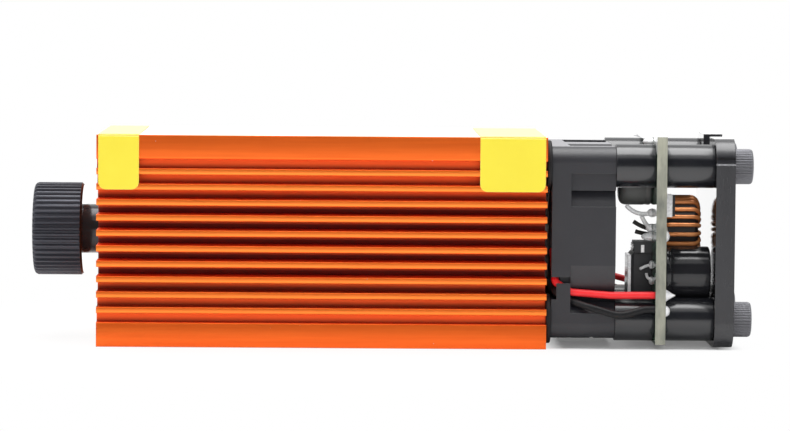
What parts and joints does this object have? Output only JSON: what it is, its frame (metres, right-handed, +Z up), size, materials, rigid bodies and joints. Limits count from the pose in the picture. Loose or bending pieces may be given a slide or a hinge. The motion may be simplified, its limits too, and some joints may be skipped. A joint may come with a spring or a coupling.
{
  "type": "laser diode module",
  "caption": "Finned square heat sink with a knurled focus knob at one end and a fan, driver board and end plate stacked on long screws at the other.",
  "frame": {"origin": "middle of the heat sink's flat underside", "axes": "+X along the optical axis towards the rear end plate, so the beam leaves towards -X; +Z up from the underside"},
  "size_m": [0.1129, 0.0331, 0.0332],
  "materials": {
    "anodised": "orange-red anodised extrusion",
    "black_metal": "black anodised, satin",
    "brass": "turned brass",
    "diode_steel": "plated steel can",
    "lens_glass": "polished",
    "spring_steel": "drawn wire",
    "screw_steel": "black oxide",
    "fan_plastic": "moulded, fine grain",
    "magnet": "ferrite",
    "shaft_steel": "ground",
    "bronze": "sintered",
    "lamination": "stamped",
    "copper": "enamelled wire",
    "board": "glass-fibre laminate",
    "spacer_plastic": "black nylon, satin",
    "plate_plastic": "black sheet, polished faces",
    "red_lead": "soft insulation",
    "black_lead": "soft insulation",
    "solder": "bright tin",
    "ferrite": "coated powder core",
    "sleeve": "shrunk sleeve",
    "epoxy": "moulded epoxy",
    "header_plastic": "black nylon",
    "chip": "ceramic with tinned ends",
    "sticker": "blank yellow vinyl"
  },
  "bodies": {
    "root": {"heat_sink": "anodised", "grub_screw": "screw_steel", "diode_housing": "brass", "laser_diode": "diode_steel", "diode_retainer": "brass", "fan_washers": "spacer_plastic", "fan_frame": "fan_plastic", "fan_bearing": "bronze", "fan_stator": "lamination", "fan_coils": "copper", "fan_circuit": "board", "front_spacers": "spacer_plastic", "driver_board": "board", "rear_spacers": "spacer_plastic", "end_plate": "plate_plastic", "long_screws": "screw_steel", "fan_lead_red": "red_lead", "fan_lead_black": "black_lead", "laser_lead_red": "red_lead", "laser_lead_black": "black_lead", "solder_joints": "solder", "inductor_core": "ferrite", "inductor_winding": "copper", "output_capacitor": "sleeve", "input_capacitor": "sleeve", "capacitor_leads": "solder", "transistor_body": "epoxy", "transistor_tab": "solder", "transistor_legs": "solder", "trimmer": "epoxy", "trimmer_screw": "solder", "power_header": "header_plastic", "header_pins": "solder", "sense_resistor": "chip", "chip_resistors": "chip", "driver_chip": "epoxy", "front_sticker": "sticker", "rear_sticker": "sticker"},
    "focus_spring": {"focus_spring": "spring_steel"},
    "focus_knob": {"focus_knob": "black_metal", "lens_barrel": "black_metal", "focus_lens": "lens_glass", "lens_ring": "brass"},
    "fan_rotor": {"fan_rotor": "fan_plastic", "fan_magnet": "magnet", "fan_shaft": "shaft_steel"}
  },
  "joints": [
    {"name": "focus_travel", "type": "slide", "parent": "root", "child": "focus_spring", "axis": [-1, 0, 0], "range_m": [-0.0015, 0.0025], "deforming": ["focus_spring"]},
    {"name": "focus_turn", "type": "hinge", "parent": "focus_spring", "child": "focus_knob", "pos_m": [0, 0, 0.0173], "axis": [-1, 0, 0], "range_deg": [-1150, 1870]},
    {"name": "fan_spin", "type": "hinge", "parent": "root", "child": "fan_rotor", "pos_m": [0.04, 0, 0.0165], "axis": [1, 0, 0], "continuous": true}
  ],
  "couplings": [
    {"joint": "focus_turn", "follows": "focus_travel", "rad_per_m": 12566}
  ]
}
